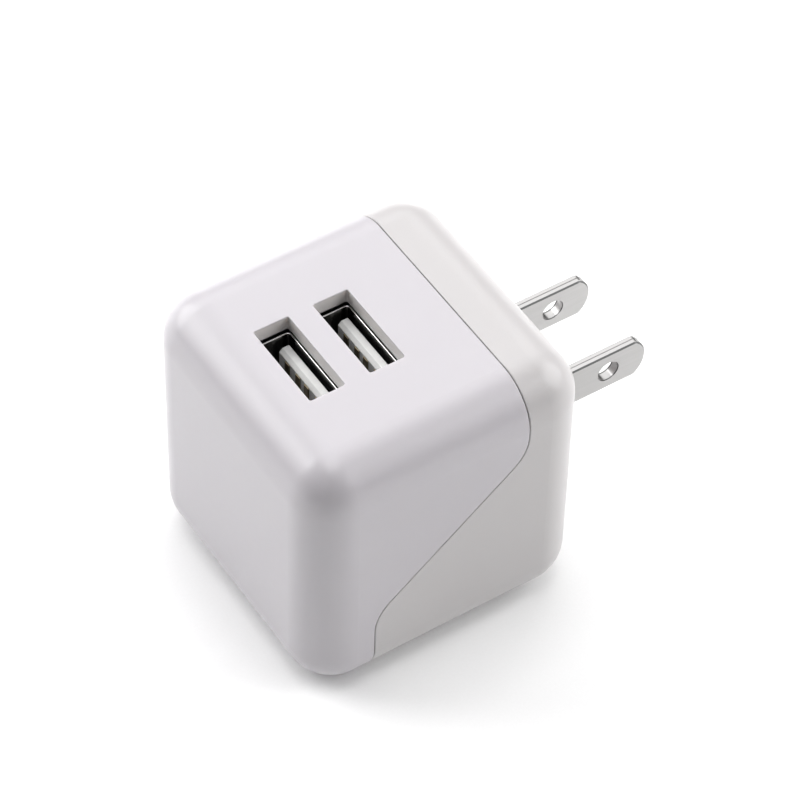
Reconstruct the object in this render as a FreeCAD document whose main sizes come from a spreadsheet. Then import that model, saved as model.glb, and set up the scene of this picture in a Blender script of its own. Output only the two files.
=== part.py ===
# A two-port USB wall charger: a rounded cube that plugs straight into a two-slot outlet.
#
# Frame: millimetres. The origin is the middle of the housing's flat bottom. +Z points up to the
# face with the two USB ports, +Y points along the blades into the outlet, and X runs from one
# blade to the other. The housing is a front shell, which carries the port face, and a rear
# shell, which carries the blades. They meet on an S-shaped seam across the whole width.
import FreeCAD, Part
import math
import os
import re

import Sketcher

SIZES = (
    # Housing
    ("body_width", 40.4),           # across the blades, X
    ("body_depth", 40.8),           # front face to wall face, Y
    ("body_height", 41.0),          # rest face to port face, Z
    ("corner_radius", 6.3),         # every outer edge and corner
    ("wall_thickness", 2.2),
    ("edge_softening", 0.12),       # rounding of the moulded edges at the seam and the windows
    # Seam between the two shells
    ("seam_top_setback", 9.6),      # from the wall face, across the port face
    ("seam_bottom_setback", 9.0),   # from the front face, across the rest face
    ("seam_high_drop", 10.1),       # from the port face down to the upper bend
    ("seam_low_rise", 12.84),       # from the rest face up to the lower bend
    ("seam_bend_radius", 6.0),
    ("seam_gap", 0.14),
    ("lip_thickness", 1.0),
    ("lip_height", 1.6),
    ("lip_clearance", 0.1),
    # Blades for a two-slot outlet
    ("blade_pitch", 12.7),
    ("blade_width", 6.35),
    ("blade_thickness", 1.5),
    ("blade_reach", 18.2),          # from the wall face to the tip
    ("blade_tail", 9.2),            # from the wall face to the end inside the housing
    ("blade_rise", 20.5),           # from the rest face to the blades' middle
    ("blade_crown_radius", 3.9),    # the arc across the tip
    ("blade_tip_radius", 0.8),      # where the arc meets the straight edges
    ("blade_edge_chamfer", 0.22),
    ("fold_gap", 0.1),              # each blade is a strip folded in two: the gap at its edge
    ("fold_depth", 0.15),
    ("blade_hole_radius", 1.65),
    ("blade_hole_reach", 12.3),     # from the wall face to the middle of the hole
    ("blade_eye_radius", 0.5),      # the small hole in the tail that takes the lead
    ("blade_eye_inset", 1.1),
    ("blade_clearance", 0.06),
    # Blade seat inside the rear shell, and the plate that closes it
    ("seat_margin", 1.5),
    ("seat_depth", 3.0),
    ("retainer_thickness", 1.6),
    ("peg_radius", 0.8),
    ("peg_spread", 2.4),
    ("peg_head", 0.5),
    ("peg_clearance", 0.1),
    # Leads from the blades to the main board
    ("lead_radius", 0.65),
    ("lead_wire_radius", 0.4),
    ("lead_bend", 2.2),
    # USB ports
    ("port_length", 13.25),         # window, X
    ("port_width", 5.1),            # window, Y
    ("port_pitch", 8.65),
    ("port_corner_radius", 0.3),
    ("ports_from_front", 14.9),     # from the front face to the middle of the pair
    ("ports_sideways", 0.5),        # from the housing's middle plane towards -X
    ("socket_length", 13.1),        # metal shell of a socket, outside, X
    ("socket_width", 5.4),
    ("socket_depth", 13.0),
    ("socket_metal", 0.28),
    ("socket_corner_radius", 0.7),
    ("socket_rim_radius", 0.12),    # both edges of the sleeve's rim
    ("socket_gap", 0.45),           # from the port wall's inner face to the shell's rim
    ("socket_foot_width", 1.2),
    ("finger_width", 1.6),
    ("finger_length", 5.4),
    ("finger_slot", 0.35),
    ("finger_spread", 3.2),
    ("finger_top_inset", 2.3),
    ("finger_angle", 3.2),
    ("tongue_length", 11.1),
    ("tongue_thickness", 1.5),
    ("tongue_shift", 1.25),         # from the port's middle towards +Y
    ("tongue_chamfer", 0.5),        # the top edge over the contacts
    ("tongue_top_drop", 3.9),       # from the port face
    ("tongue_corner_radius", 0.12),
    ("insulator_floor", 3.4),
    ("insulator_clearance", 0.05),
    ("contact_width", 1.0),
    ("contact_thickness", 0.25),
    ("contact_proud", 0.12),
    ("contact_top_inset", 0.7),
    ("contact_inner_offset", 1.0),
    ("contact_outer_offset", 3.5),
    # Circuit boards
    ("board_thickness", 1.6),
    ("board_clearance", 1.0),
    ("board_corner_radius", 4.0),
    ("board_rise", 4.6),            # from the rest face to the main board's underside
    ("board_rib_width", 0.9),
    ("board_rib_inset", 0.1),
    ("usb_board_margin", 1.3),
    ("usb_board_corner_radius", 3.6),
    ("rail_depth", 2.4),
    ("rail_height", 1.2),
    ("rail_clearance", 0.1),
    ("pin_radius", 0.3),
    ("pin_clearance", 0.1),
    ("pin_tail", 1.0),              # how far a pin stands out under its board
    ("solder_radius", 0.75),
    ("solder_height", 0.7),
    ("link_pitch", 2.54),
    ("link_gap", 1.0),              # from the transformer to the row of link pins
    ("sheet_thickness", 0.3),
    ("sheet_gap", 1.2),             # from the link pins to the insulation sheet
    # Transformer
    ("core_length", 13.0),
    ("core_depth", 6.0),
    ("core_height", 12.8),
    ("core_yoke", 2.4),
    ("core_leg", 2.2),
    ("core_middle_leg", 3.4),
    ("core_lift", 1.4),             # from the main board to the underside of the core
    ("core_meeting_gap", 0.05),
    ("bobbin_wall", 0.6),
    ("bobbin_clearance", 0.1),
    ("bobbin_depth", 13.0),
    ("winding_inset", 0.7),
    ("tape_thickness", 0.15),
    ("transformer_from_front", 15.6),
    ("transformer_pin_pitch", 2.4),
    ("transformer_pin_inset", 1.0),
    # Capacitors
    ("bulk_radius", 3.9),
    ("bulk_height", 12.0),
    ("output_radius", 3.1),
    ("output_height", 11.0),
    ("can_groove_rise", 1.4),
    ("can_groove_depth", 0.3),
    ("can_lift", 0.3),
    ("sleeve_thickness", 0.15),
    ("sleeve_overlap", 0.9),
    ("part_gap", 0.5),              # between neighbours on a board, and to the board's edge
    ("bulk_lead_pitch", 3.5),
    ("output_lead_pitch", 2.5),
    ("disc_radius", 3.4),
    ("disc_thickness", 2.8),
    ("disc_lift", 1.2),
    # Other parts on the boards
    ("choke_radius", 3.2),
    ("choke_height", 7.5),
    ("choke_flange", 1.1),
    ("choke_waist", 1.7),
    ("choke_coil_inset", 0.4),
    ("fuse_radius", 1.7),
    ("fuse_waist", 1.4),
    ("fuse_length", 8.4),
    ("fuse_cap", 1.3),
    ("fuse_lift", 0.7),
    ("fuse_lead_reach", 1.3),
    ("bridge_length", 4.8),
    ("bridge_width", 3.9),
    ("bridge_height", 2.4),
    ("coupler_length", 4.6),
    ("coupler_width", 6.4),
    ("coupler_height", 3.4),
    ("coupler_leg_pitch", 2.54),
    ("controller_length", 4.9),
    ("controller_width", 3.9),
    ("controller_height", 1.45),
    ("controller_pitch", 1.27),
    ("diode_length", 4.3),
    ("diode_width", 2.6),
    ("diode_height", 1.9),
    ("leg_width", 0.45),
    ("leg_reach", 0.9),
    ("leg_thickness", 0.25),
    ("chip_length", 2.0),
    ("chip_width", 1.25),
    ("chip_height", 0.55),
    ("chip_pitch", 2.6),
)

# Places that several pieces share, as sums of the sizes above.
FRONT = "-body_depth/2"
INNER_WALL_FACE = "(body_depth/2 - wall_thickness)"
INNER_TOP = "(body_height - wall_thickness)"
SIDE = "(body_width/2 - wall_thickness)"
BOARD_TOP = "(board_rise + board_thickness)"
BOARD_HALF_X = "(body_width/2 - wall_thickness - board_clearance)"
BOARD_HALF_Y = "(body_depth/2 - wall_thickness - board_clearance)"
PORTS_X = "(-ports_sideways)"
PORTS_Y = "(ports_from_front - body_depth/2)"
SOCKET_TOP = "(body_height - wall_thickness - socket_gap)"
USB_BOARD_TOP = "(body_height - wall_thickness - socket_gap - socket_depth)"
USB_BOARD_BOTTOM = "(body_height - wall_thickness - socket_gap - socket_depth - board_thickness)"
SEAT_FACE = "(body_depth/2 - wall_thickness - seat_depth)"
SEAT_HALF_X = "(blade_pitch/2 + blade_thickness/2 + seat_margin)"
SEAT_HALF_Z = "(blade_width/2 + seat_margin)"
BLADE_END = "(body_depth/2 - blade_tail)"
EYE_Y = "(body_depth/2 - blade_tail + blade_eye_inset)"
TRANSFORMER_Y = "(transformer_from_front - body_depth/2)"
CORE_BOTTOM = "(board_rise + board_thickness + core_lift)"
CORE_TOP = "(board_rise + board_thickness + core_lift + core_height)"
LINK_Y = "(transformer_from_front - body_depth/2 + bobbin_depth/2 + link_gap)"
SHEET_Y = "(transformer_from_front - body_depth/2 + bobbin_depth/2 + link_gap + sheet_gap)"
OUTPUT_SLEEVE = "(output_radius + sleeve_thickness)"
COUPLER_X = f"({BOARD_HALF_X} - part_gap - {OUTPUT_SLEEVE})"
COUPLER_Y = (f"(-{BOARD_HALF_Y} + board_corner_radius/2 + 3*part_gap + 4*{OUTPUT_SLEEVE}"
             " + coupler_width/2)")

NEARLY = 0.001                  # mm, how close counts as the same place
AXES = {"X": FreeCAD.Vector(1, 0, 0), "Y": FreeCAD.Vector(0, 1, 0), "Z": FreeCAD.Vector(0, 0, 1)}

doc = FreeCAD.newDocument("usb_wall_charger")
sheet = doc.addObject("Spreadsheet::Sheet", "sizes")
nodes = []
main_pins = []
usb_pins = []


# ---------------------------------------------------------------- sheet and expressions

def fill_sheet():
    """Put every driving size in a named cell."""
    for row, (alias, value) in enumerate(SIZES, start=1):
        sheet.set(f"A{row}", alias)
        sheet.set(f"B{row}", str(value))
        sheet.setAlias(f"B{row}", alias)
    doc.recompute()


def sized(text):
    """Point each size's name in an expression at its cell in the sheet."""
    return re.sub(r"\b[a-z]+(?:_[a-z]+)+\b", lambda name: "sizes." + name.group(0), text)


def bind(thing, prop, text):
    thing.setExpression(prop, sized(text))


def place(thing, x="0", y="0", z="0"):
    for axis, text in zip("xyz", (x, y, z)):
        bind(thing, "Placement.Base." + axis, text)


def node(piece):
    """Mark a finished sub-part: its name is the name of its file."""
    nodes.append(piece)
    return piece


# ---------------------------------------------------------------- simple shapes

def block(name, x, y, z):
    """A block between a low and a high limit on each axis."""
    box = doc.addObject("Part::Box", name)
    for side, (low, high) in (("Length", x), ("Width", y), ("Height", z)):
        bind(box, side, f"({high}) - ({low})")
    place(box, x[0], y[0], z[0])
    return box


def about(middle, half):
    """The limits of something that is centred on a place."""
    return (f"{middle} - ({half})", f"{middle} + ({half})")


def rod(name, radius, length, x, y, z, along="Z"):
    """A round bar that starts at a place and runs along an axis."""
    bar = doc.addObject("Part::Cylinder", name)
    bar.Placement.Rotation = FreeCAD.Rotation(AXES["Z"], AXES[along])
    bind(bar, "Radius", radius)
    bind(bar, "Height", length)
    place(bar, x, y, z)
    return bar


def joined(name, *pieces):
    whole = doc.addObject("Part::MultiFuse", name)
    whole.Shapes = list(pieces)
    return whole


def cut(name, base, *tools):
    piece = doc.addObject("Part::Cut", name)
    piece.Base = base
    piece.Tool = tools[0] if len(tools) == 1 else joined(name + "_tools", *tools)
    return piece


def shared(name, *pieces):
    """What all the pieces have in common."""
    part = doc.addObject("Part::MultiCommon", name)
    part.Shapes = list(pieces)
    return part


# ---------------------------------------------------------------- sketched shapes

def sketch_on(body, plane):
    """A sketch on one of a body's own origin planes."""
    sketch = body.newObject("Sketcher::SketchObject", body.Name + "_sketch")
    face = next(item for item in body.Origin.OriginFeatures if item.Role == plane)
    sketch.AttachmentSupport = [(face, "")]
    sketch.MapMode = "FlatFace"
    return sketch


def outline(body, plane, corners):
    """A closed outline of straight lines, each corner held at its own two sizes."""
    sketch = sketch_on(body, plane)
    count = len(corners)
    ring = [FreeCAD.Vector(math.cos(2 * math.pi * i / count), math.sin(2 * math.pi * i / count), 0)
            for i in range(count)]
    for i in range(count):
        sketch.addGeometry(Part.LineSegment(ring[i], ring[(i + 1) % count]))
    for i in range(count):
        sketch.addConstraint(Sketcher.Constraint("Coincident", i, 2, (i + 1) % count, 1))
    for i, (across, up) in enumerate(corners):
        for kind, text in (("DistanceX", across), ("DistanceY", up)):
            number = sketch.addConstraint(Sketcher.Constraint(kind, -1, 1, i, 1, 1.0))
            bind(sketch, f"Constraints[{number}]", text)
    return sketch


def pad(body, sketch, length, middle=False):
    feature = body.newObject("PartDesign::Pad", body.Name + "_pad")
    feature.Profile = sketch
    if middle:
        feature.SideType = "Symmetric"
    bind(feature, "Length", length)
    doc.recompute()
    return feature


def soften(body, feature, edges, radius, kind="Fillet", size="Radius"):
    """Round or chamfer the chosen edges of a body's newest feature."""
    edge = body.newObject("PartDesign::" + kind, body.Name + "_" + kind.lower())
    edge.Base = (feature, edges)
    bind(edge, size, radius)
    doc.recompute()
    return edge


def edges_along(shape, axis):
    """The names of a shape's straight edges that run along an axis."""
    return [f"Edge{i}" for i, edge in enumerate(shape.Edges, start=1)
            if edge.Curve.TypeId == "Part::GeomLine"
            and abs(edge.tangentAt(edge.FirstParameter).dot(AXES[axis])) > 0.999]


def rounded_block(name, x, y, z, radius, axis=None):
    """A block with all its edges rounded, or only those that run along one axis."""
    body = doc.addObject("PartDesign::Body", name)
    wide, deep, high = (f"({high}) - ({low})" for low, high in (x, y, z))
    sketch = outline(body, "XY_Plane", (("0", "0"), (wide, "0"), (wide, deep), ("0", deep)))
    solid = pad(body, sketch, high)
    chosen = ([f"Edge{i + 1}" for i in range(len(solid.Shape.Edges))] if axis is None
              else edges_along(solid.Shape, axis))
    soften(body, solid, chosen, radius)
    place(body, x[0], y[0], z[0])
    return body


def turned(name, corners, x="0", y="0", z="0", along="Z"):
    """A round piece: its half section, as radius and height, turned about its own axis."""
    body = doc.addObject("PartDesign::Body", name)
    sketch = outline(body, "XZ_Plane", corners)
    feature = body.newObject("PartDesign::Revolution", name + "_turn")
    feature.Profile = sketch
    feature.ReferenceAxis = (sketch, ["V_Axis"])
    feature.Angle = 360
    body.Placement.Rotation = FreeCAD.Rotation(AXES["Z"], AXES[along])
    place(body, x, y, z)
    doc.recompute()
    return body


# ---------------------------------------------------------------- housing

def housing_block(name, inset):
    """The housing's rounded cube, moved inwards all round."""
    return rounded_block(
        name,
        about("0", f"body_width/2 - ({inset})"),
        about("0", f"body_depth/2 - ({inset})"),
        (inset, f"body_height - ({inset})"),
        f"corner_radius - ({inset})")


def behind_seam(name, forward):
    """Everything on the wall side of the seam, with the seam moved towards the front shell.

    The seam is two upright stretches and one slope. Moving it forward by a distance, square to
    each stretch, is one straight move: the distance forward, and a share of it upward that
    depends on the slope.
    """
    body = doc.addObject("PartDesign::Body", name)
    top_y = "(body_depth/2 - seam_top_setback)"
    low_y = "(seam_bottom_setback - body_depth/2)"
    high_z = "(body_height - seam_high_drop)"
    beyond = "(body_depth/2 + corner_radius)"
    above = "(body_height + corner_radius)"
    below = "(-corner_radius)"
    sketch = outline(body, "YZ_Plane", (
        (top_y, above), (top_y, high_z), (low_y, "seam_low_rise"),
        (low_y, below), (beyond, below), (beyond, above)))
    solid = pad(body, sketch, "body_width + 2*corner_radius", middle=True)
    bends = [name for name in edges_along(solid.Shape, "X")
             if is_seam_bend(solid.Shape.Edges[int(name[4:]) - 1].CenterOfMass)]
    soften(body, solid, bends, "seam_bend_radius")
    slope = f"(({high_z} - seam_low_rise) / ({top_y} - {low_y}))"
    place(body, y=f"-({forward})", z=f"({forward}) * (sqrt(1 + {slope}^2) - {slope})")
    return body


def is_seam_bend(point):
    """Whether a point of the unmoved seam block is at one of the seam's two bends."""
    return (0 < point.z < sheet.body_height) and abs(point.y) < sheet.body_depth / 2


def shell_wall():
    """The hollow cube that both shells are cut from."""
    return cut("shell_wall", housing_block("outer_block", "0"),
               housing_block("cavity_block", "wall_thickness"))


def port_windows():
    windows = []
    for side, sign in (("front", "-"), ("rear", "+")):
        middle = f"({PORTS_Y} {sign} port_pitch/2)"
        windows.append(rounded_block(
            f"window_{side}", about(PORTS_X, "port_length/2"), about(middle, "port_width/2"),
            (f"{INNER_TOP} - corner_radius", "body_height + wall_thickness"),
            "port_corner_radius", axis="Z"))
    return joined("windows", *windows)


def usb_board_rails():
    """Rails inside the front shell's two sides, above and below the USB board."""
    rails = []
    for side, limits in (
            ("left", (f"-{SIDE} - wall_thickness/2", f"rail_depth - {SIDE}")),
            ("right", (f"{SIDE} - rail_depth", f"{SIDE} + wall_thickness/2"))):
        deep = (f"{FRONT} + wall_thickness + corner_radius", f"{PORTS_Y}")
        rails.append(block(f"rail_low_{side}", limits, deep,
                           (f"{USB_BOARD_BOTTOM} - rail_clearance - rail_height",
                            f"{USB_BOARD_BOTTOM} - rail_clearance")))
        rails.append(block(f"rail_high_{side}", limits, deep,
                           (f"{USB_BOARD_TOP} + rail_clearance",
                            f"{USB_BOARD_TOP} + rail_clearance + rail_height")))
    return rails


def body_around(name, solid):
    """A body that starts from a finished solid, and the feature that holds it."""
    body = doc.addObject("PartDesign::Body", name)
    body.BaseFeature = solid
    doc.recompute()
    return body, next(item for item in body.Group if item.isDerivedFrom("PartDesign::Feature"))


def softened_shell(name, cut_shell):
    """A shell whose sharp outer edges, at the seam and the windows, are slightly rounded."""
    body, base = body_around(name, cut_shell)
    skin = Part.makeShell(doc.getObject("outer_block").Shape.Faces)
    chosen = [f"Edge{i}" for i, edge in enumerate(base.Shape.Edges, start=1)
              if on_skin(edge, skin) and is_sharp(edge, base.Shape)]
    soften(body, base, chosen, "edge_softening")
    return node(body)


def on_skin(edge, skin):
    """Whether the whole edge lies on the housing's outer surface."""
    span = edge.LastParameter - edge.FirstParameter
    points = [edge.valueAt(edge.FirstParameter + share * span) for share in (0.1, 0.5, 0.9)]
    return all(skin.distToShape(Part.Vertex(point))[0] < NEARLY for point in points)


def is_sharp(edge, shape):
    """Whether the two faces beside an edge meet at a clear angle."""
    middle = edge.valueAt((edge.FirstParameter + edge.LastParameter) / 2)
    normals = []
    for face in shape.ancestorsOfType(edge, Part.Face):
        u, v = face.Surface.parameter(middle)
        normals.append(face.normalAt(u, v))
    return len(normals) == 2 and normals[0].dot(normals[1]) < 0.5


def make_housing():
    wall = shell_wall()
    cavity = doc.getObject("cavity_block")
    lip_block = housing_block("lip_block", "wall_thickness - lip_thickness")
    rebate_block = housing_block("rebate_block", "wall_thickness - lip_thickness - lip_clearance")

    # The front shell is everything in front of the seam, less the rebate that takes the lip.
    rebate = shared("rebate", rebate_block, behind_seam("rebate_side", "lip_height + lip_clearance"))
    front_part = cut("front_part", wall, behind_seam("gap_side", "seam_gap"), rebate)
    front_whole = joined("front_whole", front_part, *usb_board_rails())
    front_open = cut("front_open", front_whole, port_windows())
    doc.recompute()
    softened_shell("front_housing", front_open)

    # The rear shell is everything behind the seam, with the lip, the ribs and the blade seat.
    rear_part = shared("rear_part", wall, behind_seam("rear_side", "0"))
    lip_ring = cut("lip_ring", lip_block, cavity)
    lip = shared("lip", lip_ring, behind_seam("lip_side", "lip_height"))
    rear_whole = joined("rear_whole", rear_part, lip, *board_ribs(), blade_seat(), *seat_pegs())
    rear_open = cut("rear_open", rear_whole, *blade_slots("rear"))
    doc.recompute()
    softened_shell("rear_housing", rear_open)


def board_ribs():
    """Two ribs that the main board rests on."""
    ribs = []
    for side, edge in (("left", "-1"), ("right", "1")):
        middle = f"({edge} * ({BOARD_HALF_X} - board_rib_inset - board_rib_width/2))"
        ribs.append(block(f"rib_{side}", about(middle, "board_rib_width/2"),
                          ("seam_bottom_setback - body_depth/2 + lip_height + lip_thickness",
                           f"{BOARD_HALF_Y} - board_corner_radius"),
                          ("wall_thickness/2", "board_rise")))
    return ribs


def blade_seat():
    """The thick block behind the wall face that the blades pass through."""
    return block("blade_seat", about("0", SEAT_HALF_X),
                 (SEAT_FACE, f"{INNER_WALL_FACE} + wall_thickness/2"),
                 about("blade_rise", SEAT_HALF_Z))


def peg_places():
    return (("low", "(blade_rise - peg_spread)"), ("high", "(blade_rise + peg_spread)"))


def seat_pegs():
    """Pegs that pass through the retainer and are melted over it."""
    start = f"{SEAT_FACE} - retainer_thickness - peg_head"
    return [rod(f"peg_{side}", "peg_radius", "retainer_thickness + peg_head + seat_depth/2",
                "0", start, z, along="Y") for side, z in peg_places()]


def blade_places():
    return (("left", "(-blade_pitch/2)"), ("right", "(blade_pitch/2)"))


def blade_slots(owner):
    """Slots for the two blades, through the wall and the seat or through the retainer."""
    return [block(f"{owner}_slot_{side}", about(x, "blade_thickness/2 + blade_clearance"),
                  (f"{BLADE_END} - blade_clearance", "body_depth/2 + wall_thickness"),
                  about("blade_rise", "blade_width/2 + blade_clearance"))
            for side, x in blade_places()]


# ---------------------------------------------------------------- blades and leads

def blade_outline(body):
    """A strip whose outer end is an arc; across the sketch is Y and up is Z."""
    sketch = sketch_on(body, "YZ_Plane")
    half, crown = sheet.blade_width / 2, sheet.blade_crown_radius
    tip = sheet.body_depth / 2 + sheet.blade_reach
    root = sheet.body_depth / 2 - sheet.blade_tail
    turn = math.asin(half / crown)
    shoulder = tip - crown + crown * math.cos(turn)
    corner = [FreeCAD.Vector(y, z, 0) for y, z in
              ((root, -half), (shoulder, -half), (shoulder, half), (root, half))]
    circle = Part.Circle(FreeCAD.Vector(tip - crown, 0, 0), AXES["Z"], crown)
    sketch.addGeometry(Part.LineSegment(corner[0], corner[1]))
    sketch.addGeometry(Part.ArcOfCircle(circle, -turn, turn))
    sketch.addGeometry(Part.LineSegment(corner[2], corner[3]))
    sketch.addGeometry(Part.LineSegment(corner[3], corner[0]))
    for rule in (("Coincident", 0, 2, 1, 1), ("Coincident", 1, 2, 2, 1),
                 ("Coincident", 2, 2, 3, 1), ("Coincident", 3, 2, 0, 1),
                 ("Horizontal", 0), ("Horizontal", 2), ("Vertical", 3),
                 ("Symmetric", 1, 1, 1, 2, -1)):
        sketch.addConstraint(Sketcher.Constraint(*rule))
    for rule, text in (
            (("Radius", 1, crown), "blade_crown_radius"),
            (("DistanceY", 0, 1, 2, 2, 2 * half), "blade_width"),
            (("DistanceX", -1, 1, 0, 1, root), BLADE_END),
            (("DistanceX", -1, 1, 1, 3, tip - crown),
             "body_depth/2 + blade_reach - blade_crown_radius")):
        number = sketch.addConstraint(Sketcher.Constraint(*rule))
        bind(sketch, f"Constraints[{number}]", text)
    return sketch


def blade_hole(body, label, radius, y):
    """A round hole through the blade, at a place along it."""
    sketch = sketch_on(body, "YZ_Plane")
    circle = Part.Circle(FreeCAD.Vector(1, 0, 0), AXES["Z"], 1)
    sketch.addGeometry(circle)
    sketch.addConstraint(Sketcher.Constraint("PointOnObject", 0, 3, -1))
    for rule, text in ((("Radius", 0, 1.0), radius), (("DistanceX", -1, 1, 0, 3, 1.0), y)):
        number = sketch.addConstraint(Sketcher.Constraint(*rule))
        bind(sketch, f"Constraints[{number}]", text)
    feature = body.newObject("PartDesign::Pocket", f"{body.Name}_{label}")
    feature.Profile = sketch
    feature.SideType = "Symmetric"
    bind(feature, "Length", "4*blade_thickness")
    doc.recompute()
    return feature


def fold_line(side, x):
    """The gap between a folded strip's two halves, along the upper edge and round the tip."""
    crown_y = "(body_depth/2 + blade_reach - blade_crown_radius)"
    inner_z = "(blade_rise + blade_width/2 - fold_depth)"
    below = "(blade_rise - blade_width)"
    above = "(blade_rise + blade_width)"
    plate = block(f"fold_plate_{side}", about(x, "fold_gap/2"),
                  (f"{BLADE_END} - fold_depth", "body_depth/2 + 2*blade_reach"), (below, above))
    round_end = rod(f"fold_end_{side}", "blade_crown_radius - fold_depth", "2*fold_gap",
                    f"({x} - fold_gap)", crown_y, "blade_rise", along="X")
    straight = block(f"fold_straight_{side}", about(x, "fold_gap"),
                     (f"{BLADE_END} - 2*fold_depth", crown_y), (below, inner_z))
    under = block(f"fold_under_{side}", about(x, "2*fold_gap"),
                  (f"{BLADE_END} - 3*fold_depth", "body_depth/2 + blade_reach"),
                  (f"{below} - fold_depth", inner_z))
    core = shared(f"fold_core_{side}", joined(f"fold_inside_{side}", round_end, straight), under)
    return cut(f"fold_{side}", plate, core)


def make_blade(side, x):
    body = doc.addObject("PartDesign::Body", f"blade_{side}_strip")
    solid = pad(body, blade_outline(body), "blade_thickness", middle=True)
    tip_corners = [name for name in edges_along(solid.Shape, "X")
                   if solid.Shape.Edges[int(name[4:]) - 1].CenterOfMass.y > sheet.body_depth / 2]
    rounded = soften(body, solid, tip_corners, "blade_tip_radius")
    rim = [f"Edge{i}" for i, edge in enumerate(rounded.Shape.Edges, start=1)
           if abs(abs(edge.CenterOfMass.x) - sheet.blade_thickness / 2) < NEARLY]
    soften(body, rounded, rim, "blade_edge_chamfer", kind="Chamfer", size="Size")
    blade_hole(body, "hole", "blade_hole_radius", "body_depth/2 + blade_hole_reach")
    blade_hole(body, "eye", "blade_eye_radius", EYE_Y)
    place(body, x=x, z="blade_rise")
    return node(cut(f"blade_{side}", body, fold_line(side, x)))


def make_retainer():
    """The plate that locks the blades in their seat."""
    plate = rounded_block("retainer_plate", about("0", SEAT_HALF_X),
                          (f"{SEAT_FACE} - retainer_thickness", SEAT_FACE),
                          about("blade_rise", SEAT_HALF_Z), "peg_radius", axis="Y")
    holes = [rod(f"peg_hole_{side}", "peg_radius + peg_clearance", "3*retainer_thickness",
                 "0", f"{SEAT_FACE} - 2*retainer_thickness", z, along="Y")
             for side, z in peg_places()]
    return node(cut("blade_retainer", plate, *blade_slots("retainer"), *holes))


def make_lead(name, sign):
    """An insulated lead: up from the main board, round a bend and into the blade's eye."""
    face = f"({sign} * (blade_pitch/2 + blade_thickness/2))"
    upright_x = f"({sign} * (blade_pitch/2 + blade_thickness/2 + lead_bend))"
    bend_z = "(blade_rise - lead_bend)"
    upright = rod(f"{name}_upright", "lead_radius", f"{bend_z} - {BOARD_TOP}",
                  upright_x, EYE_Y, BOARD_TOP)
    bend = doc.addObject("Part::Torus", f"{name}_bend")
    bind(bend, "Radius1", "lead_bend")
    bind(bend, "Radius2", "lead_radius")
    bend.Angle3 = 90
    outward = AXES["X"] * int(sign)
    bend.Placement.Rotation = FreeCAD.Rotation(outward, AXES["Z"], outward.cross(AXES["Z"]), "XYZ")
    place(bend, face, EYE_Y, bend_z)
    wire_low = rod(f"{name}_wire_low", "pin_radius", f"{BOARD_TOP} - board_rise + pin_tail",
                   upright_x, EYE_Y, "board_rise - pin_tail")
    inner = f"({face} - {sign} * blade_thickness)" if sign == "1" else face
    wire_high = rod(f"{name}_wire_high", "lead_wire_radius", "blade_thickness",
                    inner, EYE_Y, "blade_rise", along="X")
    main_pins.append((name, upright_x, EYE_Y))
    return node(joined(name, upright, bend, wire_low, wire_high))


# ---------------------------------------------------------------- boards and joints

def board_pin(name, pins, x, y, top, bottom):
    """A pin that goes down through a board; the board's hole and solder are made from the list."""
    pins.append((name, x, y))
    return rod(name + "_pin", "pin_radius", f"{top} - ({bottom}) + pin_tail", x, y,
               f"{bottom} - pin_tail")


def make_board(name, limits_x, limits_y, bottom, radius, pins):
    blank = rounded_block(name + "_blank", limits_x, limits_y,
                          (bottom, f"{bottom} + board_thickness"), radius, axis="Z")
    holes = [rod(f"{name}_{pin}_hole", "pin_radius + pin_clearance", "3*board_thickness",
                 x, y, f"{bottom} - board_thickness") for pin, x, y in pins]
    return node(cut(name, blank, *holes))


def make_solder(name, bottom, pins):
    """A small cone of solder round each pin, under the board."""
    cones = []
    for pin, x, y in pins:
        cone = doc.addObject("Part::Cone", f"{name}_{pin}_cone")
        bind(cone, "Radius1", "pin_radius")
        bind(cone, "Radius2", "solder_radius")
        bind(cone, "Height", "solder_height")
        place(cone, x, y, f"{bottom} - solder_height")
        core = rod(f"{name}_{pin}_core", "pin_radius", "3*solder_height", x, y,
                   f"{bottom} - 2*solder_height")
        cones.append(cut(f"{name}_{pin}", cone, core))
    return node(joined(name, *cones))


# ---------------------------------------------------------------- USB sockets

def finger_places():
    return (("left", "-finger_spread"), ("right", "finger_spread"))


def rounded_rim(name, sleeve):
    """A sleeve with both edges of its open upper end rounded."""
    body, base = body_around(name, sleeve)
    top = base.Shape.BoundBox.ZMax
    rim = [f"Edge{i}" for i, edge in enumerate(base.Shape.Edges, start=1)
           if edge.BoundBox.ZMin > top - NEARLY]
    soften(body, base, rim, "socket_rim_radius")
    return body


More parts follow.
